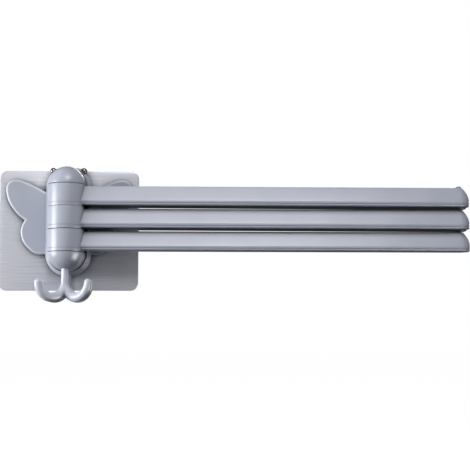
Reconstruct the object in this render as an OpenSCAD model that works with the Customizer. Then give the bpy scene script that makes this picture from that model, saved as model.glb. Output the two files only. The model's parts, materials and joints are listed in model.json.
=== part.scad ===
// Swing arm towel bar: three towel arms on one hinge column, which stands on a butterfly base
// with an adhesive wall plate.
// Millimetres. X runs along the arms, Y points into the wall, Z is up.
// The origin is the middle of the adhesive pad's wall face, so the whole part stands at negative Y.

/* [Wall plate] */
// Width of the brushed wall plate
plate_w = 108; // [96:1:130]
// Height of the brushed wall plate
plate_h = 93.5; // [90:0.5:120]
// Corner radius of the wall plate
plate_corner_r = 6; // [2:0.5:12]
// Thickness of the wall plate
plate_t = 1; // [0.8:0.1:2]
// Thickness of the adhesive pad behind the plate
pad_t = 1; // [0.8:0.1:2]
// How far the pad's edge stays inside the plate's edge
pad_inset = 1; // [0.5:0.5:6]

/* [Butterfly base] */
// Wing tip to the middle of the body
wing_span = 48.8; // [44:0.2:54]
// Height from the lowest to the highest point of the wings
wing_h = 59; // [52:0.5:66]
// Height of the wings' lowest point above the middle of the plate
wing_low_z = -19; // [-24:0.5:-16]
// Thickness of the wings
wing_t = 4; // [3:0.25:6]
// Depth of the moulded pockets in the back of the wings
wing_pocket_d = 2.2; // [1:0.1:2.6]

/* [Hinge column] */
// Radius of the knuckles and of the domes above and below them
barrel_r = 14; // [12:0.5:16]
// Height that each arm takes up on the hinge column
knuckle_pitch = 17.25; // [17:0.25:22]
// Height of the middle of the hinge column above the middle of the plate
barrel_mid_z = 7.55; // [4:0.05:12]
// Gap that shows as a dark line between two knuckles
seam_gap = 0.4; // [0.3:0.05:0.8]
// Distance from the hinge axis to the face of the wall plate
axis_to_plate = 19; // [18.75:0.25:24]
// Radius of the hinge bolt
bolt_r = 3; // [2.5:0.25:3.5]
// Radius of the hinge bolt's head
bolt_head_r = 5; // [4.5:0.25:5.5]
// Height of the hinge bolt's head
bolt_head_h = 4; // [3:0.5:5]
// Outer radius of the threaded brass insert
insert_r = 4.4; // [4:0.1:5]
// Length of the threaded brass insert
insert_h = 8; // [6:0.5:10]
// Radius of the washers
washer_r = 8; // [7.25:0.25:8.5]
// Thickness of the spring washer's steel
spring_t = 0.6; // [0.4:0.1:0.7]
// Height of the spring washer's recess in the upper dome
spring_recess_h = 1.3; // [1.2:0.1:2]
// Depth of the friction washers' recess
washer_recess_d = 0.8; // [0.6:0.1:1]

/* [Hinge bracket] */
// Half width of the bracket where it meets the wings
bracket_r = 17.6; // [17:0.2:20]
// Half width of the bracket at its front rim
bracket_front_r = 15; // [14.8:0.2:16.8]
// Distance from the hinge axis back to the bracket's front rim
rim_back = 9; // [8.25:0.25:10]
// Height of the bracket's flat top above the upper seam
bracket_top_rise = 14.6; // [13:0.2:15]
// Half width of the bracket's spigot, which passes through the base
spigot_r = 13; // [12:0.25:13.5]
// Radius of the screws from the wall plate into the bracket
plate_screw_r = 1.5; // [1.25:0.25:1.75]
// Radius of those screws' flat heads
plate_screw_head_r = 2.8; // [2.5:0.1:3.5]
// Thickness of those screws' flat heads
plate_screw_head_t = 0.7; // [0.5:0.1:0.75]
// Length of those screws below the head
plate_screw_len = 10; // [8:0.5:11]
// Half the distance between the screws across the bracket
plate_screw_dx = 6; // [5:0.5:7]
// Radius of the beads on the butterfly's two feelers
feeler_bead_r = 2.6; // [2:0.1:3]
// Radius of the feelers' pegs
feeler_peg_r = 1.1; // [0.8:0.1:1.3]
// Length of the feelers' pegs below the bead's middle
feeler_peg_len = 5.5; // [4:0.5:6]
// Angle of the feelers away from upright
feeler_tilt = 44; // [40:1:50]

/* [Arms] */
// Hinge axis to the tip of an arm
arm_reach = 310; // [150:5:400]
// Half depth of a bar at its widest
bar_half = 7.8; // [7:0.1:8]
// Half depth of a bar at its top
bar_top_half = 2.8; // [2.6:0.1:4]
// Height of a bar's top above the underside of its knuckle
bar_h = 16.4; // [15:0.1:16.5]
// Height of a bar's underside above the underside of its knuckle
bar_rise = 0.9; // [0.8:0.05:1]
// Height of the bar's ridge, its widest stretch, above the underside of its knuckle
ridge_h = 4.4; // [4.2:0.1:6.5]
// How far the bar's curved side bulges past a straight line
side_bulge = 0.3; // [0.1:0.1:1.4]
// Radius along the bar's top edges
bar_top_round = 0.5; // [0.3:0.1:0.5]
// Wall of the arm shells
shell_wall = 1.8; // [1.4:0.1:2]
// Thickness of the cover under each knuckle
cover_t = 2.7; // [2.4:0.1:2.8]
// How far the slope along the cover's lower edge reaches in
cover_edge = 1.3; // [0.8:0.1:3]
// Height of that slope
cover_edge_h = 0.6; // [0.3:0.1:0.8]
// Depth of the groove along the parting line, on each side of the line
part_groove = 0.3; // [0.1:0.05:0.4]
// Height of the cover's tongue inside the shell
tongue_h = 1.6; // [1:0.1:1.8]
// Outer radius of the bush in each knuckle
bush_r = 4.5; // [4.25:0.25:5]
// Outer radius of the boss round the bush
hub_r = 6.6; // [6:0.2:7]
// Radius of the spacer stud on each arm's tip
stud_r = 2.2; // [1.8:0.1:2.2]
// Height of the spacer stud above the bar
stud_h = 1.2; // [0.8:0.1:1.2]
// Radius of the spacer stud's stem
stud_stem_r = 1.1; // [0.8:0.1:1.3]

/* [Hooks] */
// Radius of the hooks' prongs
prong_r = 3.3; // [2.8:0.1:3.6]
// Radius of the hooks' stems
stem_r = 2.9; // [2.6:0.1:3]
// Radius of the bend of a prong, at its middle line
prong_bend_r = 11.7; // [10:0.1:12]
// Angle by which the prongs sweep forward from the wall's direction
prong_sweep = 38; // [30:1:42]
// Distance below the middle of the plate of the prongs' lowest point
hook_low = 56.8; // [55:0.2:60]
// How far the front hook's stem stands in front of the hinge axis
front_stem_out = 3.6; // [3:0.1:3.8]
// How far the rear hook's stem stands behind the hinge axis
rear_stem_in = 12; // [11.6:0.1:12.6]
// Height of the lower dome's cap, which carries the front hook
cap_h = 3; // [2.6:0.1:4]
// Height of the spigot that holds the cap in the bolt's counterbore
cap_spigot_h = 1; // [0.5:0.25:2]
// Radius of the rear hook's tenon in the bracket
tenon_r = 2; // [1.75:0.25:2.25]
// Length of that tenon
tenon_len = 9; // [8:0.5:10]
// Radius of the set screw across the tenon
set_screw_r = 1; // [0.75:0.25:1]

/* [Fits] */
// Running clearance between the bolt and the bushes
run_fit = 0.05; // [0.03:0.01:0.1]
// Clearance between pieces that are pushed together
push_fit = 0.05; // [0.02:0.01:0.15]
// Clearance between the shell and the cover's tongue
tongue_fit = 0.15; // [0.05:0.05:0.3]
// Clearance of the knuckles in the bracket
cradle_fit = 0.6; // [0.4:0.1:0.8]
// End play of each friction washer
washer_play = 0.03; // [0.01:0.01:0.1]
// Clearance round the bolt's head in its counterbore
head_play = 0.4; // [0.2:0.1:0.6]

/* [Hidden] */

// Fineness of round faces
$fn = 64;
// How far a cut runs past the face that it opens
overrun = 1;

// Colours
plastic = [0.74, 0.76, 0.82];
plastic_light = [0.80, 0.82, 0.87];
brushed = [0.77, 0.77, 0.78];
steel = [0.62, 0.63, 0.65];
brass = [0.78, 0.63, 0.34];
acetal = [0.93, 0.93, 0.90];
foam = [0.92, 0.92, 0.92];

// Layers, counted out from the wall
plate_y = -pad_t - plate_t;
wing_y = plate_y - wing_t;
axis_y = plate_y - axis_to_plate;
rim_y = axis_y + rim_back;

// Heights of the seams between the knuckles and domes
arm_count = 3;
top_seam_z = barrel_mid_z + arm_count * knuckle_pitch / 2;
low_seam_z = top_seam_z - arm_count * knuckle_pitch;
half_gap = seam_gap / 2;
// Underside of each arm, from the top arm down
arm_z = [for (k = [1:arm_count]) top_seam_z - k * knuckle_pitch + half_gap];
knuckle_h = knuckle_pitch - seam_gap;

// Arm outline
tip_x = arm_reach - bar_half;
bar_start_x = barrel_r / 2;
cavity_x = barrel_r + shell_wall / 2;
knuckle_roof_t = shell_wall + washer_recess_d;
tongue_x = cavity_x + tongue_fit;

// Hooks
prong_mid_z = prong_r + prong_bend_r - hook_low;
front_stem_y = axis_y - front_stem_out;
rear_stem_y = axis_y + rear_stem_in;
dome_low_z = low_seam_z - barrel_r;
cap_z = dome_low_z + cap_h;
counterbore_r = bolt_head_r + head_play;
bolt_head_z = cap_z + cap_spigot_h + push_fit;
bolt_seat_z = bolt_head_z + bolt_head_h;
// Underside of the bracket at the rear hook's stem
rear_stem_top_z = low_seam_z - bracket_front_r;

// Insert, bolt and screws
insert_z = top_seam_z + half_gap + spring_recess_h + shell_wall;
bolt_end_z = insert_z + insert_h;
plate_screw_zs = [top_seam_z + plate_screw_dx, low_seam_z - plate_screw_dx];
set_screw_z = rear_stem_top_z + tenon_len * 2 / 3;
friction_washer_t = washer_recess_d + seam_gap - washer_play;
bore_r = bolt_r + run_fit;

// Wing outline, as shares of the span and of the wing height, from the body outwards
upper_wing_shares = [
    [-0.20, 0.74], [-0.28, 0.785], [-0.56, 0.915], [-0.80, 0.99], [-0.94, 0.972],
    [-1.0, 0.88], [-0.975, 0.74], [-0.90, 0.62], [-0.80, 0.52], [-0.70, 0.455]
];
lower_wing_shares = [
    [-0.70, 0.455], [-0.745, 0.375], [-0.76, 0.28], [-0.705, 0.145],
    [-0.57, 0.033], [-0.45, 0.0], [-0.28, 0.013], [-0.20, 0.02]
];
// Middles of the wings, towards which the pockets in their backs are drawn in
upper_pocket_share = [-0.66, 0.76];
lower_pocket_share = [-0.50, 0.26];
pocket_share = 0.72;
wing_steps = 5;
curve_steps = 8;

// A point on a smooth curve through b and c, with neighbours a and d
function curve_point(a, b, c, d, t) =
    (2 * b + (c - a) * t + (2 * a - 5 * b + 4 * c - d) * t * t + (3 * b - 3 * c + d - a) * t * t * t) / 2;

// A smooth curve through all the given points
function smooth_curve(points, steps) =
    let (last = len(points) - 1)
    [
        for (i = [0:last - 1], s = [0:steps - 1])
            let (before = points[max(i - 1, 0)], after = points[min(i + 2, last)])
            curve_point(before, points[i], points[i + 1], after, s / steps),
        points[last]
    ];

// Shares of the wing turned into places on the base
function wing_places(shares) = [for (p = shares) [p[0] * wing_span, wing_low_z + p[1] * wing_h]];

// Points drawn in towards a middle
function drawn_in(points, middle, share) = [for (p = points) middle + (p - middle) * share];

// The curved side of the bar's section, from its widest stretch up to the rounded top edge
function bar_side(inset) = [
    for (s = [0:curve_steps])
        let (
            t = s / curve_steps,
            rise = bar_h - bar_top_round - ridge_h,
            bulge = 4 * side_bulge * t * (1 - t)
        )
        [bar_half + (bar_top_half - bar_half) * t + bulge - inset, ridge_h + rise * t]
];

// Half of the outer section above the cover, from the middle out and over the top
function shell_section() = concat(
    [[0, cover_t], [bar_half - part_groove, cover_t], [bar_half, cover_t + part_groove]],
    bar_side(0),
    [[bar_top_half - bar_top_round, bar_h], [0, bar_h]]
);

// Half of the hollow inside the shell
function hollow_section() = concat(
    [[0, cover_t - overrun], [bar_half - shell_wall, cover_t - overrun]],
    [for (p = bar_side(shell_wall)) if (p[1] < bar_h - shell_wall * 2) p],
    [[0, bar_h - shell_wall]]
);

// Half of the cover's section, with its sloping lower edge
function cover_section() = [
    [0, bar_rise],
    [bar_half - cover_edge, bar_rise],
    [bar_half, bar_rise + cover_edge_h],
    [bar_half, cover_t - part_groove],
    [bar_half - part_groove, cover_t],
    [0, cover_t]
];

// Half of the tongue's section
function tongue_section() =
    let (half = bar_half - shell_wall - tongue_fit, low = cover_t - push_fit, high = cover_t + tongue_h)
    [[0, low], [half, low], [half, high], [0, high]];

// A full section from its right half
function both_halves(half) = concat(half, [for (i = [len(half) - 1:-1:0]) [-half[i][0], half[i][1]]]);

// A straight bar with a rounded tip, both from one half section
module bar_form(half, from_x) {
    translate([from_x, 0, 0])
        rotate([90, 0, 90])
            linear_extrude(height = tip_x - from_x)
                polygon(both_halves(half));
    translate([tip_x, 0, 0])
        rotate_extrude()
            polygon(half);
}

// A stadium standing along Z, extruded from the wall side forward
module stadium(r, back_y, front_y) {
    for (z = [low_seam_z, top_seam_z])
        translate([0, back_y, z]) rotate([90, 0, 0]) cylinder(r = r, h = back_y - front_y);
    translate([-r, front_y, low_seam_z]) cube([2 * r, back_y - front_y, top_seam_z - low_seam_z]);
}

// A flat plate with rounded corners, upright against the wall
module wall_sheet(w, h, r, back_y, t) {
    for (sx = [-1, 1], sz = [-1, 1])
        translate([sx * (w / 2 - r), back_y, sz * (h / 2 - r)])
            rotate([90, 0, 0]) cylinder(r = r, h = t);
    translate([-w / 2 + r, back_y - t, -h / 2]) cube([w - 2 * r, t, h]);
    translate([-w / 2, back_y - t, -h / 2 + r]) cube([w, t, h - 2 * r]);
}

// A bore along Y at each of the plate screws
module at_plate_screws() {
    for (sx = [-1, 1], z = plate_screw_zs)
        translate([sx * plate_screw_dx, 0, z]) rotate([90, 0, 0]) children();
}

module adhesive_pad() {
    color(foam)
        difference() {
            wall_sheet(
                plate_w - 2 * pad_inset, plate_h - 2 * pad_inset, plate_corner_r - pad_inset / 2, 0, pad_t
            );
            translate([0, overrun, 0])
                at_plate_screws() cylinder(r = plate_screw_head_r + push_fit, h = pad_t + 2 * overrun);
        }
}

module mount_plate() {
    color(brushed)
        difference() {
            wall_sheet(plate_w, plate_h, plate_corner_r, -pad_t, plate_t);
            at_plate_screws() cylinder(r = plate_screw_r + push_fit, h = pad_t + plate_t + overrun);
        }
}

module plate_screws() {
    color(steel)
        at_plate_screws() {
            translate([0, 0, pad_t - plate_screw_head_t])
                cylinder(r = plate_screw_head_r, h = plate_screw_head_t);
            translate([0, 0, pad_t - push_fit]) cylinder(r = plate_screw_r, h = plate_screw_len);
        }
}

// One side of the butterfly
module wing_pair() {
    upper = smooth_curve(wing_places(upper_wing_shares), wing_steps);
    lower = smooth_curve(wing_places(lower_wing_shares), wing_steps);
    body_low = lower[len(lower) - 1][1];
    outline = concat([[0, upper[0][1]]], upper, [for (i = [1:len(lower) - 1]) lower[i]], [[0, body_low]]);
    difference() {
        translate([0, plate_y, 0]) rotate([90, 0, 0]) linear_extrude(height = wing_t) polygon(outline);
        for (part = [[upper_wing_shares, upper_pocket_share], [lower_wing_shares, lower_pocket_share]])
            translate([0, plate_y + overrun, 0])
                rotate([90, 0, 0])
                    linear_extrude(height = wing_pocket_d + overrun)
                        polygon(drawn_in(
                            smooth_curve(wing_places(part[0]), wing_steps),
                            wing_places([part[1]])[0],
                            pocket_share
                        ));
    }
}

// The space below the bracket's flat top, between two depths
module below_flat_top(back_y, front_y) {
    translate([-bracket_r, front_y, low_seam_z - bracket_r])
        cube([
            2 * bracket_r,
            back_y - front_y,
            top_seam_z - low_seam_z + bracket_r + bracket_top_rise
        ]);
}

module butterfly_base() {
    color(plastic)
        difference() {
            union() {
                wing_pair();
                mirror([1, 0, 0]) wing_pair();
                intersection() {
                    stadium(bracket_r - push_fit, plate_y, wing_y);
                    below_flat_top(plate_y, wing_y);
                }
            }
            stadium(spigot_r + push_fit, plate_y + overrun, wing_y - overrun);
        }
}

// The bracket's sloping outer wall, between the wings and its front rim
module bracket_wall(grow) {
    back_r = bracket_r + grow;
    front_r = bracket_front_r + grow;
    for (z = [low_seam_z, top_seam_z])
        translate([0, wing_y, z])
            rotate([90, 0, 0]) cylinder(r1 = back_r, r2 = front_r, h = wing_y - rim_y);
    translate([0, 0, low_seam_z])
        linear_extrude(height = top_seam_z - low_seam_z)
            polygon([[-back_r, wing_y], [back_r, wing_y], [front_r, rim_y], [-front_r, rim_y]]);
}

// The slice between two heights of a dome that is carried back to the given depth
module dome_slice(mid_z, low_z, high_z, back_y) {
    intersection() {
        translate([0, 0, mid_z]) {
            translate([0, axis_y, 0]) sphere(r = barrel_r);
            translate([0, back_y, 0]) rotate([90, 0, 0]) cylinder(r = barrel_r, h = back_y - axis_y);
        }
        translate([-barrel_r, axis_y - barrel_r, low_z])
            cube([2 * barrel_r, back_y - axis_y + barrel_r, high_z - low_z]);
    }
}

// Places something at both feelers, with its own Z pointing outwards
module at_feelers() {
    out = (bracket_r + bracket_front_r + feeler_bead_r / 2) / 2;
    for (tilt = [-feeler_tilt, feeler_tilt])
        translate([0, (wing_y + rim_y) / 2, top_seam_z])
            rotate([0, tilt, 0]) translate([0, 0, out]) children();
}

// The set screw's hole, from the back through the rear hook's tenon
module set_screw_hole() {
    translate([0, plate_y + overrun, set_screw_z])
        rotate([90, 0, 0])
            cylinder(r = set_screw_r + push_fit, h = plate_y - rear_stem_y + overrun + tenon_r);
}

module hinge_bracket() {
    color(plastic_light)
        difference() {
            union() {
                intersection() {
                    bracket_wall(0);
                    below_flat_top(wing_y, rim_y);
                }
                stadium(spigot_r, plate_y, wing_y);
                dome_slice(top_seam_z, top_seam_z + half_gap, top_seam_z + barrel_r, wing_y);
                dome_slice(low_seam_z, cap_z, low_seam_z - half_gap, wing_y);
            }
            // Cradle for the knuckles
            translate([0, axis_y, low_seam_z - half_gap])
                cylinder(r = barrel_r + cradle_fit, h = top_seam_z - low_seam_z + seam_gap);
            // Upper dome: recess for the spring washer, seat for the insert, end of the bolt
            translate([0, axis_y, top_seam_z]) {
                cylinder(r = washer_r + push_fit, h = half_gap + spring_recess_h);
                cylinder(r = bore_r + push_fit, h = insert_z - top_seam_z + overrun);
            }
            translate([0, axis_y, insert_z]) cylinder(r = insert_r + push_fit, h = insert_h + push_fit);
            // Lower dome: recess for the friction washer, bolt hole, seat for the bolt's head
            translate([0, axis_y, low_seam_z - half_gap - washer_recess_d])
                cylinder(r = washer_r + push_fit, h = washer_recess_d + overrun);
            translate([0, axis_y, bolt_seat_z - overrun])
                cylinder(r = bore_r + push_fit, h = low_seam_z - bolt_seat_z + overrun);
            translate([0, axis_y, cap_z - overrun])
                cylinder(r = counterbore_r, h = bolt_seat_z - cap_z + overrun);
            // Holes for the screws from the wall plate
            translate([0, plate_y + overrun, 0])
                at_plate_screws()
                    cylinder(
                        r = plate_screw_r + push_fit,
                        h = plate_screw_len - plate_t + overrun + push_fit
                    );
            // Socket for the rear hook's tenon, and the hole of its set screw
            translate([0, rear_stem_y, low_seam_z - bracket_r - overrun])
                cylinder(
                    r = tenon_r + push_fit,
                    h = rear_stem_top_z + tenon_len + push_fit - low_seam_z + bracket_r + overrun
                );
            set_screw_hole();
            // Seats of the feelers
            at_feelers() {
                sphere(r = feeler_bead_r + push_fit);
                translate([0, 0, -feeler_peg_len - push_fit])
                    cylinder(r = feeler_peg_r + push_fit, h = feeler_peg_len + push_fit);
            }
        }
}

// The butterfly's two feelers: a bead on a peg in the bracket's upper corner
module feelers() {
    color(steel)
        at_feelers() {
            sphere(r = feeler_bead_r);
            translate([0, 0, -feeler_peg_len]) cylinder(r = feeler_peg_r, h = feeler_peg_len);
        }
}

module hinge_bolt() {
    color(steel)
        translate([0, axis_y, 0]) {
            translate([0, 0, bolt_head_z])
                difference() {
                    cylinder(r = bolt_head_r, h = bolt_head_h);
                    translate([0, 0, -overrun])
                        cylinder(r = bolt_head_r / 2, h = bolt_head_h / 2 + overrun, $fn = 6);
                }
            translate([0, 0, bolt_seat_z]) cylinder(r = bolt_r, h = bolt_end_z - bolt_seat_z);
        }
}

module bolt_insert() {
    color(brass)
        translate([0, axis_y, insert_z])
            difference() {
                cylinder(r = insert_r, h = insert_h);
                translate([0, 0, -overrun]) cylinder(r = bolt_r + push_fit, h = insert_h + 2 * overrun);
            }
}

// A shallow steel cone that keeps the column pressed together
module spring_washer() {
    foot = top_seam_z + half_gap;
    inner = bore_r + push_fit;
    color(steel)
        translate([0, axis_y, 0])
            rotate_extrude()
                polygon([
                    [washer_r - push_fit, foot],
                    [washer_r - push_fit, foot + spring_t],
                    [inner, foot + spring_recess_h],
                    [inner, foot + spring_recess_h - spring_t]
                ]);
}

// One washer on the lower dome and one on each arm
module friction_washers() {
    floors = concat(
        [low_seam_z - half_gap - washer_recess_d], [for (z = arm_z) z + knuckle_h - washer_recess_d]
    );
    color(acetal)
        for (z = floors)
            translate([0, axis_y, z])
                difference() {
                    cylinder(r = washer_r - push_fit, h = friction_washer_t);
                    translate([0, 0, -overrun])
                        cylinder(r = bore_r + push_fit, h = friction_washer_t + 2 * overrun);
                }
}

// Two prongs that swing out and up from one stem, each a half ring with a round end
module prong_pair(stem_top_z) {
    translate([0, 0, prong_mid_z]) cylinder(r = stem_r, h = stem_top_z - prong_mid_z);
    for (side = [0, 1])
        rotate([0, 0, side == 0 ? -prong_sweep : 180 + prong_sweep])
            translate([prong_bend_r, 0, prong_mid_z]) {
                rotate([90, 0, 0])
                    rotate([0, 0, 180])
                        rotate_extrude(angle = 180) translate([prong_bend_r, 0]) circle(r = prong_r);
                translate([prong_bend_r, 0, 0]) sphere(r = prong_r);
            }
}

module front_hook() {
    color(plastic_light) {
        translate([0, front_stem_y, 0]) prong_pair(cap_z - push_fit);
        dome_slice(low_seam_z, dome_low_z, cap_z - push_fit, rim_y - push_fit);
        translate([0, axis_y, cap_z - cap_h / 2])
            cylinder(r = counterbore_r - push_fit, h = cap_h / 2 + cap_spigot_h);
    }
}

module rear_hook() {
    color(plastic_light)
        difference() {
            union() {
                difference() {
                    translate([0, rear_stem_y, 0]) prong_pair(low_seam_z);
                    bracket_wall(push_fit);
                }
                translate([0, rear_stem_y, rear_stem_top_z - stem_r])
                    cylinder(r = tenon_r, h = stem_r + tenon_len);
            }
            set_screw_hole();
        }
}

module hook_screw() {
    color(steel)
        translate([0, plate_y - push_fit, set_screw_z])
            rotate([90, 0, 0]) cylinder(r = set_screw_r, h = plate_y - rear_stem_y + tenon_r - push_fit);
}

// Upper half of an arm: knuckle and hollow bar in one moulding
module arm_shell(z) {
    color(plastic)
        translate([0, axis_y, z])
            difference() {
                union() {
                    translate([0, 0, cover_t]) {
                        cylinder(r1 = barrel_r - part_groove, r2 = barrel_r, h = part_groove);
                        translate([0, 0, part_groove])
                            cylinder(r = barrel_r, h = knuckle_h - cover_t - part_groove);
                    }
                    bar_form(shell_section(), bar_start_x);
                    cylinder(r = hub_r, h = knuckle_h);
                }
                // Hollow of the bar
                bar_form(hollow_section(), cavity_x);
                // Hollow of the knuckle, round the boss
                difference() {
                    translate([0, 0, cover_t - overrun])
                        cylinder(
                            r = barrel_r - shell_wall,
                            h = knuckle_h - cover_t - knuckle_roof_t + overrun
                        );
                    translate([0, 0, -overrun]) cylinder(r = hub_r, h = knuckle_h + 2 * overrun);
                }
                // Bush hole and washer recess
                translate([0, 0, -overrun]) cylinder(r = bush_r + push_fit, h = knuckle_h + 2 * overrun);
                translate([0, 0, knuckle_h - washer_recess_d])
                    cylinder(r = washer_r + push_fit, h = washer_recess_d + overrun);
                // Hole for the spacer stud
                translate([tip_x, 0, bar_h - shell_wall - overrun])
                    cylinder(r = stud_stem_r + push_fit, h = shell_wall + 2 * overrun);
            }
}

// Lower half of an arm: a plate of the same outline with a tongue that locates it
module arm_cover(z) {
    color(plastic)
        translate([0, axis_y, z])
            difference() {
                union() {
                    bar_form(cover_section(), bar_start_x);
                    cylinder(r = barrel_r, h = cover_t - part_groove);
                    translate([0, 0, cover_t - part_groove])
                        cylinder(r1 = barrel_r, r2 = barrel_r - part_groove, h = part_groove);
                    bar_form(tongue_section(), tongue_x);
                    cylinder(r = barrel_r - shell_wall - tongue_fit, h = cover_t + tongue_h);
                }
                translate([0, 0, -overrun])
                    cylinder(r = hub_r + push_fit, h = cover_t + tongue_h + 2 * overrun);
            }
}

module arm_bush(z) {
    color(acetal)
        translate([0, axis_y, z])
            difference() {
                cylinder(r = bush_r, h = knuckle_h - washer_recess_d);
                translate([0, 0, -overrun]) cylinder(r = bore_r, h = knuckle_h + 2 * overrun);
            }
}

// A rounded stud that keeps an arm's tip off the arm above it
module arm_stud(z) {
    color(plastic)
        translate([tip_x, axis_y, z + bar_h]) {
            rotate_extrude()
                polygon(concat(
                    [[0, 0]],
                    [
                        for (s = [0:curve_steps])
                            let (a = 90 * s / curve_steps)
                            [stud_r * cos(a), stud_h * sin(a)]
                    ]
                ));
            translate([0, 0, -shell_wall]) cylinder(r = stud_stem_r, h = shell_wall + stud_h / 2);
        }
}

adhesive_pad();
mount_plate();
plate_screws();
butterfly_base();
hinge_bracket();
feelers();
hinge_bolt();
bolt_insert();
spring_washer();
friction_washers();
front_hook();
rear_hook();
hook_screw();
arm_shell(arm_z[0]);  // top_shell
arm_cover(arm_z[0]);  // top_cover
arm_bush(arm_z[0]);  // top_bush
arm_stud(arm_z[0]);  // top_stud
arm_shell(arm_z[1]);  // middle_shell
arm_cover(arm_z[1]);  // middle_cover
arm_bush(arm_z[1]);  // middle_bush
arm_stud(arm_z[1]);  // middle_stud
arm_shell(arm_z[2]);  // bottom_shell
arm_cover(arm_z[2]);  // bottom_cover
arm_bush(arm_z[2]);  // bottom_bush
arm_stud(arm_z[2]);  // bottom_stud
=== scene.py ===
import json
import math

import bmesh
import bpy
from mathutils import Matrix, Vector


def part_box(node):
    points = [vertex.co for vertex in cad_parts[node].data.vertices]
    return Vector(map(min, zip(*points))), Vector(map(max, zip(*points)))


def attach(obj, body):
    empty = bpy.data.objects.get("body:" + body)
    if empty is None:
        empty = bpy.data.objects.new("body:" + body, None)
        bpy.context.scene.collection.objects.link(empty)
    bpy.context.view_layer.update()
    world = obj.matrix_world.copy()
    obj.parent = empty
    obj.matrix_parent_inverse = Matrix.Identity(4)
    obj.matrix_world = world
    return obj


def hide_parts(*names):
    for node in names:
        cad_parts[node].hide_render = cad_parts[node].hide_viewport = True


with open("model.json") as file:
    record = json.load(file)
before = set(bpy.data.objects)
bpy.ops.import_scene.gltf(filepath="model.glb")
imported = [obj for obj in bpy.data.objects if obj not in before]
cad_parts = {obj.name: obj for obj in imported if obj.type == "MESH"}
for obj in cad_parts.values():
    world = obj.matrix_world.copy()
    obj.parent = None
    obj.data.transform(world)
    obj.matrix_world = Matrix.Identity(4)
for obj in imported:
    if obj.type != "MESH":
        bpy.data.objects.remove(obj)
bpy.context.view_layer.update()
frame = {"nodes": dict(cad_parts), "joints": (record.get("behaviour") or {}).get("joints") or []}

# Wall plate
# A thin sheet of stainless steel, cut with rounded corners and brushed along its length. It is
# glued to a foam pad of nearly the same outline, which sticks to the wall.
MM = 0.001


def linear(code):
    """A colour written as sRGB hex, turned to the linear light that a shader works in."""
    shares = [int(code[i:i + 2], 16) / 255 for i in (1, 3, 5)]
    return tuple(s / 12.92 if s <= 0.04045 else ((s + 0.055) / 1.055) ** 2.4 for s in shares) + (1.0,)


def add(tree, kind, sockets=None, **settings):
    """Adds a node with its settings, and fills its sockets with values or with other nodes' outputs."""
    made = tree.nodes.new(kind)
    for name, value in settings.items():
        setattr(made, name, value)
    for name, value in (sockets or {}).items():
        if isinstance(value, bpy.types.NodeSocket):
            tree.links.new(value, made.inputs[name])
        else:
            made.inputs[name].default_value = value
    return made


def new_material(name):
    """An empty material, and its node tree."""
    material = bpy.data.materials.new(name)
    material.use_nodes = True
    material.node_tree.nodes.clear()
    return material, material.node_tree


def piece(bm, name, material, body, replaced):
    """Turns a finished bmesh into a named piece that rides on a body and stands for some CAD nodes."""
    shortest_edge = 0.004 * MM
    smooth_below = math.radians(20)
    bmesh.ops.dissolve_degenerate(bm, dist=shortest_edge, edges=bm.edges)
    mesh = bpy.data.meshes.new(name)
    bm.to_mesh(mesh)
    bm.free()
    mesh.shade_smooth()
    mesh.set_sharp_from_angle(angle=smooth_below)
    mesh.materials.append(material)
    made = bpy.data.objects.new(name, mesh)
    bpy.context.scene.collection.objects.link(made)
    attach(made, body)
    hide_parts(*replaced)
    return made


def dress(name, material):
    """Gives a CAD node its material."""
    mesh = frame["nodes"][name].data
    mesh.materials.clear()
    mesh.materials.append(material)


def painted_shade_near(tree, tone, darkest, reach=7 * MM):
    """Paints shade into a tone where other surfaces stand close, as in seams, slots and under edges."""
    shut_in, open_air = 0.42, 0.95
    openness = add(tree, "ShaderNodeAmbientOcclusion", {"Distance": reach}, samples=8).outputs["AO"]
    share = add(
        tree, "ShaderNodeMapRange",
        {"Value": openness, "From Min": shut_in, "From Max": open_air, "To Min": darkest},
    ).outputs["Result"]
    return add(tree, "ShaderNodeVectorMath", {0: tone, 1: share}, operation="MULTIPLY").outputs["Vector"]


def brushed_stainless():
    """Stainless sheet, brushed along X: streaks, and a soft sheen that spreads across them.

    The streaks are drawn wider than real brushing leaves them, so that they show.
    """
    material, tree = new_material("brushed_stainless")
    streak_length, streak_width, cloud_size = 45 * MM, 0.5 * MM, 60 * MM
    bump_height = 0.05 * MM
    place = add(tree, "ShaderNodeTexCoord").outputs["Object"]
    stretched = add(
        tree, "ShaderNodeMapping",
        {"Vector": place, "Scale": (1 / streak_length, 1 / streak_length, 1 / streak_width)},
    ).outputs["Vector"]
    streaks = add(
        tree, "ShaderNodeTexNoise", {"Vector": stretched, "Scale": 1.0, "Detail": 3.0, "Roughness": 0.6}
    ).outputs["Fac"]
    clouds = add(
        tree, "ShaderNodeTexNoise", {"Vector": place, "Scale": 1 / cloud_size, "Detail": 1.0}
    ).outputs["Fac"]
    tone = add(tree, "ShaderNodeValToRGB", {"Fac": streaks}).outputs["Color"]
    ramp = tone.node.color_ramp
    ramp.elements[0].position, ramp.elements[0].color = 0.3, linear("#c2c4cd")
    ramp.elements[1].position, ramp.elements[1].color = 0.7, linear("#dedfe8")
    # Painted shade: the steel's tone is darkened where other surfaces stand close, as round the wings
    # and under the arms.
    tone = painted_shade_near(tree, tone, darkest=0.1)
    rough = add(
        tree, "ShaderNodeMapRange", {"Value": clouds, "To Min": 0.36, "To Max": 0.44}
    ).outputs["Result"]
    bump = add(
        tree, "ShaderNodeBump", {"Height": streaks, "Strength": 0.12, "Distance": bump_height}
    ).outputs["Normal"]
    shader = add(
        tree, "ShaderNodeBsdfPrincipled",
        {"Base Color": tone, "Metallic": 0.45, "Roughness": rough, "Normal": bump, "Anisotropic": 0.5},
    )
    add(tree, "ShaderNodeOutputMaterial", {"Surface": shader.outputs["BSDF"]})
    return material


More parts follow.
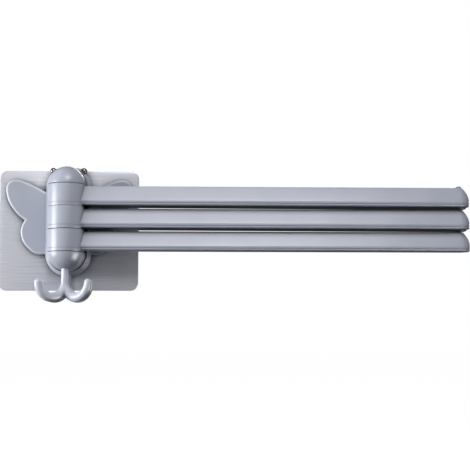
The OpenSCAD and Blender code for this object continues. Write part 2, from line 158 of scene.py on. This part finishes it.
def white_foam():
    """Closed-cell acrylic foam tape: matt white, with small dents where its cells are cut.

    The cells are drawn larger than real ones, so that they show.
    """
    material, tree = new_material("white_foam_tape")
    cell_size, dent_depth = 0.8 * MM, 0.1 * MM
    place = add(tree, "ShaderNodeTexCoord").outputs["Object"]
    cells = add(
        tree, "ShaderNodeTexVoronoi", {"Vector": place, "Scale": 1 / cell_size}
    ).outputs["Distance"]
    tone = add(tree, "ShaderNodeValToRGB", {"Fac": cells}).outputs["Color"]
    ramp = tone.node.color_ramp
    ramp.elements[0].color, ramp.elements[1].color = linear("#d9d9d6"), linear("#efefec")
    bump = add(
        tree, "ShaderNodeBump", {"Height": cells, "Strength": 0.3, "Distance": dent_depth}
    ).outputs["Normal"]
    shader = add(
        tree, "ShaderNodeBsdfPrincipled", {"Base Color": tone, "Roughness": 0.9, "Normal": bump}
    )
    add(tree, "ShaderNodeOutputMaterial", {"Surface": shader.outputs["BSDF"]})
    return material


def rounded_sheet(low, high, corner, rim):
    """An upright sheet with rounded corners and a slightly broken rim on its front face."""
    bm = bmesh.new()
    bmesh.ops.create_cube(bm, size=1)
    bmesh.ops.scale(bm, vec=high - low, verts=bm.verts)
    bmesh.ops.translate(bm, vec=(high + low) / 2, verts=bm.verts)
    across = [e for e in bm.edges if abs(e.verts[0].co.y - e.verts[1].co.y) > rim]
    bmesh.ops.bevel(
        bm, geom=across, affect="EDGES", offset=corner, segments=10, profile=0.5, material=-1
    )
    front = [e for e in bm.edges if max(v.co.y for v in e.verts) < low.y + rim / 2]
    bmesh.ops.bevel(bm, geom=front, affect="EDGES", offset=rim, segments=3, profile=0.5, material=-1)
    return bm


plate_low, plate_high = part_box("mount_plate")
piece(
    rounded_sheet(plate_low, plate_high, corner=6 * MM, rim=0.3 * MM),
    "brushed_wall_plate", brushed_stainless(), "base", ["mount_plate"],
)
dress("adhesive_pad", white_foam())

# Butterfly base
# Four wings in one injection moulding of blue-grey ABS, with a generously rounded front edge and
# shallow pockets behind. It lies between the plate and the hinge bracket. Its front face is painted
# a little darker than the other ABS, as painted shade, and its rounded rim lighter, as a painted
# highlight.


def satin_abs(name, shade, darkest=0.1):
    """Injection-moulded ABS from a spark-textured tool: satin, with a faint unevenness in its tone.

    The grain is drawn coarser than the real texture, so that it shows. Shade is painted into the tone
    where other surfaces stand close; a darkest share of 1 leaves that painted shade off.
    """
    material, tree = new_material(name)
    flow_size, grain_size = 28 * MM, 0.6 * MM
    grain_height = 0.05 * MM
    place = add(tree, "ShaderNodeTexCoord").outputs["Object"]
    flow = add(
        tree, "ShaderNodeTexNoise",
        {"Vector": place, "Scale": 1 / flow_size, "Detail": 2.0, "Roughness": 0.5},
    ).outputs["Fac"]
    grain = add(
        tree, "ShaderNodeTexNoise",
        {"Vector": place, "Scale": 1 / grain_size, "Detail": 2.0, "Roughness": 0.5},
    ).outputs["Fac"]
    tone = add(tree, "ShaderNodeValToRGB", {"Fac": flow}).outputs["Color"]
    ramp = tone.node.color_ramp
    ramp.elements[0].position, ramp.elements[0].color = 0.3, linear(shade[0])
    ramp.elements[1].position, ramp.elements[1].color = 0.7, linear(shade[1])
    # Painted shade: the tone is darkened where other surfaces stand close, as in the column's seams and
    # the slots between the arms.
    tone = painted_shade_near(tree, tone, darkest)
    rough = add(
        tree, "ShaderNodeMapRange", {"Value": grain, "To Min": 0.28, "To Max": 0.35}
    ).outputs["Result"]
    bump = add(
        tree, "ShaderNodeBump", {"Height": grain, "Strength": 0.06, "Distance": grain_height}
    ).outputs["Normal"]
    shader = add(
        tree, "ShaderNodeBsdfPrincipled",
        {"Base Color": tone, "Roughness": rough, "IOR": 1.52, "Normal": bump},
    )
    add(tree, "ShaderNodeOutputMaterial", {"Surface": shader.outputs["BSDF"]})
    return material


def copy_of(node):
    """The CAD node's solid as a bmesh, its triangles joined and its flat faces made whole."""
    bm = bmesh.new()
    bm.from_mesh(frame["nodes"][node].data)
    bmesh.ops.remove_doubles(bm, verts=bm.verts, dist=0.002 * MM)
    bmesh.ops.dissolve_limit(
        bm, angle_limit=math.radians(0.4), use_dissolve_boundaries=False, verts=bm.verts, edges=bm.edges
    )
    return bm


def crease_edges(bm, sharper_than, chosen):
    """The convex edges that turn more than an angle and that the given test picks by their middle."""
    return [
        e for e in bm.edges
        if len(e.link_faces) == 2 and e.is_convex and e.calc_face_angle(0) > math.radians(sharper_than)
        and chosen((e.verts[0].co + e.verts[1].co) / 2)
    ]


# The blue-grey ABS of the bracket, arms, studs and dome cap carries painted shade where other surfaces
# stand close.
abs_plastic = satin_abs("satin_blue_grey_abs", ("#abb0be", "#b2b6c4"))
# The wings' face is a darker copy of the ABS, as painted shade, and their rounded rim a lighter copy, as
# a painted highlight.
wing_face_painted_shade = satin_abs("satin_wing_abs_painted_shade", ("#a2a7b5", "#a9aebb"), darkest=1.0)
wing_rim_painted_highlight = satin_abs("satin_wing_rim_abs_painted_highlight", ("#b9becb", "#c0c5d2"), darkest=1.0)
wing_rounding = 1.7 * MM
half_under_bracket = 17 * MM
same_level = 0.01 * MM
wing_front_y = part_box("butterfly_base")[0].y
wings = copy_of("butterfly_base")
wing_edges = crease_edges(
    wings, sharper_than=40,
    chosen=lambda at: at.y < wing_front_y + same_level and abs(at.x) > half_under_bracket,
)
# The rounded front edge takes the lighter rim plastic in the second slot: a painted highlight.
bmesh.ops.bevel(
    wings, geom=wing_edges, affect="EDGES", offset=wing_rounding, segments=6, profile=0.5, material=1,
    clamp_overlap=False,
)
butterfly = piece(wings, "butterfly_wings", wing_face_painted_shade, "base", ["butterfly_base"])
butterfly.data.materials.append(wing_rim_painted_highlight)

# Hinge bracket
# One ABS moulding that holds the column: a capsule with sloping sides and a cradle for the knuckles,
# with a dome above and below them. It is screwed on from behind, through the wall plate.
rim_rounding = 0.5 * MM
rim_in_front = 0.5 * MM
bracket = copy_of("hinge_bracket")
rim_edges = crease_edges(
    bracket, sharper_than=30, chosen=lambda at: at.y < wing_front_y - rim_in_front
)
bmesh.ops.bevel(
    bracket, geom=rim_edges, affect="EDGES", offset=rim_rounding, segments=4, profile=0.5, material=-1,
    clamp_overlap=True,
)
piece(bracket, "column_bracket", abs_plastic, "base", ["hinge_bracket"])

# Feelers
# The butterfly's two feelers are small steel beads, drawn as a dark metal: their darkness is painted
# shade. Each stands on a peg that is pressed into the bracket's shoulder.


def dark_metal_painted_shade():
    """Dark, smooth metal whose darkness is painted shade, with the faint haze of handling."""
    material, tree = new_material("dark_metal_painted_shade")
    haze_size = 2 * MM
    place = add(tree, "ShaderNodeTexCoord").outputs["Object"]
    haze = add(
        tree, "ShaderNodeTexNoise", {"Vector": place, "Scale": 1 / haze_size, "Detail": 2.0}
    ).outputs["Fac"]
    rough = add(
        tree, "ShaderNodeMapRange", {"Value": haze, "To Min": 0.22, "To Max": 0.3}
    ).outputs["Result"]
    tone = add(tree, "ShaderNodeValToRGB", {"Fac": haze}).outputs["Color"]
    ramp = tone.node.color_ramp
    ramp.elements[0].color, ramp.elements[1].color = linear("#77777a"), linear("#88888b")
    shader = add(
        tree, "ShaderNodeBsdfPrincipled", {"Base Color": tone, "Metallic": 1.0, "Roughness": rough}
    )
    add(tree, "ShaderNodeOutputMaterial", {"Surface": shader.outputs["BSDF"]})
    return material


dress("feelers", dark_metal_painted_shade())

# Bolt, insert, washers and screws
# Zinc-plated steel for the bolt, the screws and the spring washer, turned brass for the insert, and
# acetal for the friction washers and the bushes. They hardly show: the screws' heads lie in the pad's
# holes, and the washers' edges in the column's seams.


def fastener_metal(name, dark, light, roughness):
    """Plated or turned metal, with the rings that a lathe leaves round the upright axis.

    The rings are drawn wider than real ones, so that they show.
    """
    material, tree = new_material(name)
    ring_scale, ring_depth = 4 * MM, 0.05 * MM
    place = add(tree, "ShaderNodeTexCoord").outputs["Object"]
    rings = add(
        tree, "ShaderNodeTexWave",
        {"Vector": place, "Scale": 1 / ring_scale, "Distortion": 0.6, "Detail": 1.0},
        bands_direction="Z",
    ).outputs["Fac"]
    tone = add(tree, "ShaderNodeValToRGB", {"Fac": rings}).outputs["Color"]
    ramp = tone.node.color_ramp
    ramp.elements[0].color, ramp.elements[1].color = linear(dark), linear(light)
    bump = add(
        tree, "ShaderNodeBump", {"Height": rings, "Strength": 0.1, "Distance": ring_depth}
    ).outputs["Normal"]
    shader = add(
        tree, "ShaderNodeBsdfPrincipled",
        {"Base Color": tone, "Metallic": 1.0, "Roughness": roughness, "Normal": bump},
    )
    add(tree, "ShaderNodeOutputMaterial", {"Surface": shader.outputs["BSDF"]})
    return material


def natural_acetal():
    """Unfilled acetal: milky, waxy and slightly glossy where it is turned."""
    material, tree = new_material("natural_acetal")
    cloud_size, light_depth = 6 * MM, 1 * MM
    place = add(tree, "ShaderNodeTexCoord").outputs["Object"]
    cloud = add(
        tree, "ShaderNodeTexNoise", {"Vector": place, "Scale": 1 / cloud_size, "Detail": 2.0}
    ).outputs["Fac"]
    tone = add(tree, "ShaderNodeValToRGB", {"Fac": cloud}).outputs["Color"]
    ramp = tone.node.color_ramp
    ramp.elements[0].color, ramp.elements[1].color = linear("#e2e2da"), linear("#eeeee6")
    shader = add(
        tree, "ShaderNodeBsdfPrincipled",
        {
            "Base Color": tone, "Roughness": 0.35, "IOR": 1.48,
            "Subsurface Weight": 0.1, "Subsurface Scale": light_depth,
        },
    )
    add(tree, "ShaderNodeOutputMaterial", {"Surface": shader.outputs["BSDF"]})
    return material


zinc = fastener_metal("zinc_plated_steel", "#a4a6a8", "#b6b8ba", 0.35)
for node_name in ("hinge_bolt", "plate_screws", "hook_screw", "spring_washer"):
    dress(node_name, zinc)
dress("bolt_insert", fastener_metal("turned_brass", "#b8934c", "#cba75e", 0.3))
acetal = natural_acetal()
dress("friction_washers", acetal)

# Arms
# Each arm is a hollow ABS bar moulded in one with its knuckle, closed from below by a thin cover.
# The two halves meet in a fine line just above the sloping lower edge, all round the arm and knuckle.
column = next(Vector(j["pos_m"]) for j in frame["joints"] if j["child"] == "top_arm")
column.z = 0
barrel_radius = 14 * MM
hub_radius = 6.6 * MM
washer_radius = 8.05 * MM
closer_under_top = 0.24 * MM
bar_half = 7.8 * MM
bar_top_half = 2.8 * MM
bar_rise = 0.9 * MM
cover_height = 2.7 * MM
ridge_height = 4.4 * MM
crest_height = 4.9 * MM
bar_height = 15.8 * MM
slope_reach, slope_height = 1.3 * MM, 0.6 * MM
side_bulge = 0.08 * MM
tip_bulge = 1.5 * MM
tip_lift = 0.2 * MM
rear_drop, more_at_tip = 0.8 * MM, 0.5 * MM
bar_groove, knuckle_groove = 0.3 * MM, 0.14 * MM
ring_rounding, ridge_rounding, top_rounding = 0.2 * MM, 0.15 * MM, 0.5 * MM
same_place = 0.001 * MM


def verts_in(geometry):
    """The vertices in what an operator returns."""
    return [g for g in geometry if isinstance(g, bmesh.types.BMVert)]


def outline(bm, points, rounded):
    """A chain of edges through points in the XZ plane, with some of its corners rounded."""
    verts = [bm.verts.new((x, 0, z)) for x, z in points]
    bm.faces.new(verts)
    for index, radius in rounded.items():
        bmesh.ops.bevel(
            bm, geom=[verts[index]], affect="VERTICES", offset=radius, segments=4, profile=0.5,
            material=-1,
        )
    bmesh.ops.delete(bm, geom=list(bm.faces), context="FACES_ONLY")


def turned_ring(points, rounded, low_z):
    """A ring turned about the hinge axis from its section."""
    bm = bmesh.new()
    outline(bm, points, rounded)
    bmesh.ops.translate(bm, vec=column + Vector((0, 0, low_z)), verts=bm.verts)
    bmesh.ops.spin(
        bm, geom=list(bm.verts) + list(bm.edges), cent=column, axis=(0, 0, 1), angle=2 * math.pi,
        steps=96, use_merge=True, use_duplicate=False,
    )
    bmesh.ops.recalc_face_normals(bm, faces=bm.faces)
    return bm


def long_bar(points, rounded, low_z, tip_x):
    """A bar from its half section: turned about an upright axis at the tip, and drawn out from there."""
    bm = bmesh.new()
    outline(bm, points, rounded)
    middle = [e for e in bm.edges if all(abs(v.co.x) < same_place for v in e.verts)]
    bmesh.ops.delete(bm, geom=middle, context="EDGES")
    bmesh.ops.rotate(bm, matrix=Matrix.Rotation(-math.pi / 2, 3, "Z"), verts=bm.verts)
    tip = Vector((tip_x, column.y, low_z))
    bmesh.ops.translate(bm, vec=tip, verts=bm.verts)
    bmesh.ops.spin(
        bm, geom=list(bm.verts) + list(bm.edges), cent=tip, axis=(0, 0, 1), angle=math.pi,
        steps=40, use_merge=False, use_duplicate=False,
    )
    # The tip swells between its ridge and its top edge, most of all straight ahead
    for vert in bm.verts:
        up = (vert.co.z - low_z - ridge_height) / (bar_height - ridge_height)
        ahead = (vert.co.x - tip_x) / bar_half
        if 0 < up < 1 and ahead > 0:
            width_left = 1 - up + up * bar_top_half / bar_half
            vert.co.x += 4 * tip_bulge * up * (1 - up) * ahead / width_left
    # The top edge rises a little from the column to the tip
    crest = [v for v in bm.verts if v.co.z > low_z + crest_height]
    bmesh.ops.translate(bm, vec=(0, 0, tip_lift), verts=crest)
    ends = [
        e for e in bm.edges
        if e.is_boundary and all(abs(v.co.x - tip_x) < same_place for v in e.verts)
    ]
    drawn = bmesh.ops.extrude_edge_only(bm, edges=ends)["geom"]
    root_x = barrel_radius / 2
    bmesh.ops.translate(bm, vec=(root_x - tip_x, 0, 0), verts=verts_in(drawn))
    root_crest = [v for v in bm.verts if v.co.z > low_z + crest_height and v.co.x < tip_x - bar_half]
    bmesh.ops.translate(bm, vec=(0, 0, -tip_lift), verts=root_crest)
    bmesh.ops.remove_doubles(bm, verts=bm.verts, dist=same_place)
    bmesh.ops.holes_fill(bm, edges=[e for e in bm.edges if e.is_boundary], sides=0)
    bmesh.ops.recalc_face_normals(bm, faces=bm.faces)
    return bm


def bar_side(steps=6):
    """Points up the bar's bulging side, between its ridge and its top edge."""
    rise = bar_height - ridge_height
    points = []
    for i in range(1, steps):
        t = i / steps
        bulge = 4 * side_bulge * t * (1 - t)
        points.append((bar_half + (bar_top_half - bar_half) * t + bulge, ridge_height + rise * t))
    return points


def joined(first, second):
    """Two bmeshes as one."""
    mesh = bpy.data.meshes.new("part")
    second.to_mesh(mesh)
    second.free()
    first.from_mesh(mesh)
    bpy.data.meshes.remove(mesh)
    return first


for arm in ("top", "middle", "bottom"):
    shell_low, shell_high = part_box(f"{arm}_shell")
    bush_low, bush_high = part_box(f"{arm}_bush")
    stud_low, stud_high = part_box(f"{arm}_stud")
    low_z = shell_low.z
    knuckle_top = shell_high.z - low_z
    bush_radius = (bush_high.x - bush_low.x) / 2
    bush_top = knuckle_top - (shell_high.z - bush_high.z)
    tip_x = (stud_low.x + stud_high.x) / 2

    # The middle arm's knuckle sits closer under the top arm's than the column's other joints do
    ring_top = knuckle_top + (closer_under_top if arm == "middle" else 0)
    shell_ring = turned_ring(
        [
            (bush_radius, cover_height), (barrel_radius - knuckle_groove, cover_height),
            (barrel_radius, cover_height + knuckle_groove), (barrel_radius, ring_top),
            (washer_radius, ring_top), (washer_radius, bush_top), (bush_radius, bush_top),
        ],
        {3: ring_rounding}, low_z,
    )
    side = bar_side()
    ridge_corner, top_corner = 3, 4 + len(side)
    shell_bar = long_bar(
        [
            (0, cover_height), (bar_half - bar_groove, cover_height),
            (bar_half, cover_height + bar_groove), (bar_half, ridge_height),
        ] + side + [(bar_top_half, bar_height), (0, bar_height)],
        {top_corner: top_rounding, ridge_corner: ridge_rounding}, low_z, tip_x,
    )
    piece(
        joined(shell_ring, shell_bar), f"{arm}_arm_moulding", abs_plastic, f"{arm}_arm",
        [f"{arm}_shell"],
    )

    cover_ring = turned_ring(
        [
            (hub_radius, 0), (barrel_radius, 0), (barrel_radius, cover_height - knuckle_groove),
            (barrel_radius - knuckle_groove, cover_height), (hub_radius, cover_height),
        ],
        {1: ring_rounding}, low_z,
    )
    cover_bar = long_bar(
        [
            (0, bar_rise), (bar_half - slope_reach, bar_rise), (bar_half, bar_rise + slope_height),
            (bar_half, cover_height - bar_groove), (bar_half - bar_groove, cover_height),
            (0, cover_height),
        ],
        {2: ridge_rounding}, low_z, tip_x,
    )
    # The upper two covers slant a little, lower at the wall, so that little of the background shows
    if arm != "bottom":
        groove_z = low_z + cover_height - bar_groove
        rear = [
            v for v in cover_bar.verts
            if v.co.y > column.y + bar_half / 2 and v.co.z < groove_z - same_place
        ]
        bmesh.ops.translate(cover_bar, vec=(0, 0, -rear_drop), verts=rear)
        rear_at_tip = [v for v in rear if v.co.x > tip_x - bar_half]
        bmesh.ops.translate(cover_bar, vec=(0, 0, -more_at_tip), verts=rear_at_tip)
    piece(
        joined(cover_ring, cover_bar), f"{arm}_arm_cover", abs_plastic, f"{arm}_arm",
        [f"{arm}_cover"],
    )
    dress(f"{arm}_bush", acetal)
    dress(f"{arm}_stud", abs_plastic)

# Hooks
# Two ABS mouldings. Each has a round stem and two prongs that sweep out and forward in half rings,
# thick at the bend and thinner at their round tips. The front one carries the lower dome's cap.


def draw_on(bm, edges, scale, move=None, centre=None, turn=None):
    """Extrudes a ring of edges, then turns, moves and scales the new ring about its own middle."""
    new = bmesh.ops.extrude_edge_only(bm, edges=edges)["geom"]
    verts = verts_in(new)
    if turn:
        bmesh.ops.rotate(bm, cent=centre, matrix=turn, verts=verts)
    if move:
        bmesh.ops.translate(bm, vec=move, verts=verts)
    middle = sum((v.co for v in verts), Vector()) / len(verts)
    bmesh.ops.scale(bm, vec=(scale, scale, scale), space=Matrix.Translation(-middle), verts=verts)
    return [g for g in new if isinstance(g, bmesh.types.BMEdge)]


def prong(stem_x, stem_y, top_z, bend_z, sweep, bend_radius, radii):
    """One closed prong with its stem: a tube of changing thickness that ends in a round tip."""
    stem_radius, bend_tube, tip_tube = radii
    thickest_at = 0.45
    smallest_ring = 0.02 * MM
    bend_steps, tip_steps = 30, 7
    bm = bmesh.new()
    bmesh.ops.create_circle(
        bm, segments=28, radius=stem_radius, cap_ends=False,
        matrix=Matrix.Translation((stem_x, stem_y, top_z)),
    )
    edges = draw_on(bm, list(bm.edges), 1, move=(0, 0, bend_z - top_z))
    outward = Vector((math.cos(sweep), math.sin(sweep), 0))
    centre = Vector((stem_x, stem_y, bend_z)) + outward * bend_radius
    around = outward.cross(Vector((0, 0, 1)))
    turn = Matrix.Rotation(math.pi / bend_steps, 3, around)
    radius = stem_radius
    for i in range(1, bend_steps + 1):
        t = i / bend_steps
        swelling = math.sin(math.pi / 2 * min(1, t / thickest_at))
        wanted = stem_radius + (bend_tube - stem_radius) * swelling
        if t > thickest_at:
            wanted = bend_tube + (tip_tube - bend_tube) * (t - thickest_at) / (1 - thickest_at)
        edges = draw_on(bm, edges, wanted / radius, centre=centre, turn=turn)
        radius = wanted
    height = 0
    for i in range(1, tip_steps + 1):
        angle = math.pi / 2 * i / tip_steps
        wanted = max(tip_tube * math.cos(angle), smallest_ring)
        rise = tip_tube * math.sin(angle)
        edges = draw_on(bm, edges, wanted / radius, move=(0, 0, rise - height))
        radius, height = wanted, rise
    bmesh.ops.holes_fill(bm, edges=[e for e in bm.edges if e.is_boundary], sides=0)
    bmesh.ops.recalc_face_normals(bm, faces=bm.faces)
    return bm


# The hooks' plastic is the blue-grey ABS made lighter: painted light standing in for the light the hooks
# catch. It carries painted shade near other surfaces too.
hook_plastic_painted_light = satin_abs("satin_hook_abs_painted_light", ("#cbcfdc", "#d2d6e2"))
sweep = math.radians(34)
bend_radius = 11.1 * MM
tube = (2.9 * MM, 3.7 * MM, 2.75 * MM)
raised, tube_at_lowest = 0.5 * MM, 3.4 * MM
bend_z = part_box("front_hook")[0].z + raised + tube_at_lowest + bend_radius
cap_under_bolt, stem_under_cap_top = 1.05 * MM, 0.4 * MM
cap_top_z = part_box("hinge_bolt")[0].z - cap_under_bolt
front_stem_top = cap_top_z - stem_under_cap_top
rear_stem_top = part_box("hook_screw")[0].z
front_stem_y = column.y - 3.6 * MM
rear_stem_y = column.y + 12 * MM
for node_name, stem_y, stem_top in (
    ("front_hook", front_stem_y, front_stem_top), ("rear_hook", rear_stem_y, rear_stem_top)
):
    pair = joined(
        prong(0, stem_y, stem_top, bend_z, -sweep, bend_radius, tube),
        prong(0, stem_y, stem_top, bend_z, math.pi + sweep, bend_radius, tube),
    )
    hook = piece(pair, f"{node_name}_prongs", hook_plastic_painted_light, "base", [node_name])
    blend = hook.modifiers.new("one_moulding", "REMESH")
    blend.mode = "VOXEL"
    blend.voxel_size = 0.35 * MM
    blend.use_smooth_shade = True
    soften = hook.modifiers.new("soft_inner_corners", "SMOOTH")
    soften.factor, soften.iterations = 0.5, 5

# Lower dome's cap
# The front hook's moulding begins with the bottom slice of the lower dome, which hides the bolt's
# head. It is round in front of the column and runs straight back behind it.
dome_seam, cap_seam = 0.2 * MM, 0.05 * MM
cap_length_back = 9 * MM
dome_mid = column + Vector((0, 0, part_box("bottom_shell")[0].z - dome_seam))
cap = bmesh.new()
pole = cap.verts.new(dome_mid - Vector((0, 0, barrel_radius)))
bmesh.ops.spin(cap, geom=[pole], cent=dome_mid, axis=(0, 1, 0), angle=-math.pi / 2, steps=40)
bmesh.ops.spin(
    cap, geom=list(cap.verts) + list(cap.edges), cent=dome_mid, axis=(0, 0, 1), angle=-math.pi, steps=64,
    use_merge=False,
)
seam = [
    e for e in cap.edges
    if e.is_boundary and all(abs(v.co.y - column.y) < same_place for v in e.verts)
]
drawn = bmesh.ops.extrude_edge_only(cap, edges=seam)["geom"]
bmesh.ops.translate(cap, vec=(0, cap_length_back, 0), verts=verts_in(drawn))
bmesh.ops.remove_doubles(cap, verts=cap.verts, dist=same_place)
cut_z = cap_top_z - cap_seam
bmesh.ops.bisect_plane(
    cap, geom=list(cap.verts) + list(cap.edges) + list(cap.faces), plane_co=(0, 0, cut_z),
    plane_no=(0, 0, 1), clear_outer=True,
)
at_top = [v for v in cap.verts if abs(v.co.z - cut_z) < same_place]
at_back = [v for v in cap.verts if abs(v.co.y - column.y - cap_length_back) < same_place]
shared = cap.edges.new([v for v in at_top if v in at_back])
for open_side in (at_top, at_back):
    rim = [e for e in cap.edges if e.is_boundary and all(v in open_side for v in e.verts)]
    bmesh.ops.contextual_create(cap, geom=[e for e in rim if e is not shared] + [shared])
bmesh.ops.recalc_face_normals(cap, faces=cap.faces)
piece(cap, "dome_cap", abs_plastic, "base", ["front_hook"])

# Camera
# The photograph looks a little upwards from below the arms, from in front of their left half, and
# is turned slightly towards their tips.
eye_x, eye_from_column, eye_z = 94 * MM, 790 * MM, -77.8 * MM
pitch = math.radians(5.285)
turn_right = math.radians(2.508)
camera_data = bpy.data.cameras.new("camera")
camera_data.sensor_width = 36
camera_data.lens = 79.375
camera = bpy.data.objects.new("camera", camera_data)
camera.location = (eye_x, column.y - eye_from_column, eye_z)
camera.rotation_euler = (math.pi / 2 + pitch, 0, -turn_right)
bpy.context.scene.collection.objects.link(camera)
bpy.context.scene.camera = camera

# Studio
# A pale floor well below the rack, and seven soft lamps: a strong one on the left, weaker ones in
# front, above, on the right and behind, a faint one low on the left for the hooks, and one that only
# adds the glint on the lower dome. The background is white to the camera and hardly lights the rack.


def lamp(name, place, target, size, power, only_shines=False):
    """A square soft lamp that faces a point. One that only shines adds highlights and nothing else."""
    data = bpy.data.lights.new(name, "AREA")
    data.shape, data.size, data.energy = "SQUARE", size, power
    made = bpy.data.objects.new(name, data)
    made.location = place
    made.rotation_euler = (Vector(target) - Vector(place)).to_track_quat("-Z", "Y").to_euler()
    made.visible_camera = False
    made.visible_diffuse = not only_shines
    bpy.context.scene.collection.objects.link(made)


lamp("rear_fill", (0.25, 0.9, 0.35), (0.1, 0, 0), 0.5, 4.0)
lamp("left_softbox", (-0.78, -0.22, -0.02), (0.05, 0, 0), 0.5, 8.9)
lamp("front_softbox", (0.1, -0.8, 0.6), (0.05, 0, 0), 0.25, 3.5)
lamp("top_softbox", (0.06, -0.42, 0.72), (0.12, 0, 0), 0.4, 1.2)
lamp("right_softbox", (0.3, -0.55, 0.55), (0.05, 0, 0), 0.2, 1.0)
lamp("low_left_lamp", (-0.14, -0.22, -0.16), (0, -0.03, -0.045), 0.08, 0.015)
lamp("low_right_glint", (0.41, -0.16, -0.2), (0, -0.02, -0.03), 0.28, 2.6, only_shines=True)

world = bpy.data.worlds.new("white_studio")
bpy.context.scene.world = world
world.use_nodes = True
sky = world.node_tree
sky.nodes.clear()
pure_white = (1, 1, 1, 1)
sky_rays = add(sky, "ShaderNodeLightPath").outputs
ambient = add(
    sky, "ShaderNodeBackground", {"Color": linear("#eef1f6"), "Strength": 0.04}
).outputs["Background"]
mirrored = add(
    sky, "ShaderNodeBackground", {"Color": pure_white, "Strength": 0.15}
).outputs["Background"]
white = add(
    sky, "ShaderNodeBackground", {"Color": pure_white, "Strength": 1.0}
).outputs["Background"]
unseen = add(
    sky, "ShaderNodeMixShader", {0: sky_rays["Is Glossy Ray"], 1: ambient, 2: mirrored}
).outputs["Shader"]
mixed = add(
    sky, "ShaderNodeMixShader", {0: sky_rays["Is Camera Ray"], 1: unseen, 2: white}
).outputs["Shader"]
add(sky, "ShaderNodeOutputWorld", {"Surface": mixed})

floor_z = -0.35
floor_mesh = bmesh.new()
bmesh.ops.create_grid(floor_mesh, x_segments=1, y_segments=1, size=12)
bmesh.ops.translate(floor_mesh, vec=(0, 0, floor_z), verts=floor_mesh.verts)
floor_data = bpy.data.meshes.new("floor")
floor_mesh.to_mesh(floor_data)
floor_mesh.free()
floor = bpy.data.objects.new("floor", floor_data)
bpy.context.scene.collection.objects.link(floor)
floor_material, tree = new_material("white_studio_floor")
floor_rays = add(tree, "ShaderNodeLightPath").outputs
paper = add(tree, "ShaderNodeBsdfDiffuse", {"Color": linear("#f4f4f4")}).outputs["BSDF"]
glow = add(tree, "ShaderNodeEmission", {"Color": pure_white, "Strength": 0.96}).outputs["Emission"]
lit = add(tree, "ShaderNodeAddShader", {0: paper, 1: glow}).outputs["Shader"]
dull = add(tree, "ShaderNodeBsdfDiffuse", {"Color": linear("#6c6c6c")}).outputs["BSDF"]
shown = add(
    tree, "ShaderNodeMixShader", {0: floor_rays["Is Camera Ray"], 1: dull, 2: lit}
).outputs["Shader"]
add(tree, "ShaderNodeOutputMaterial", {"Surface": shown})
floor_data.materials.append(floor_material)

bpy.context.scene.view_settings.view_transform = "Standard"
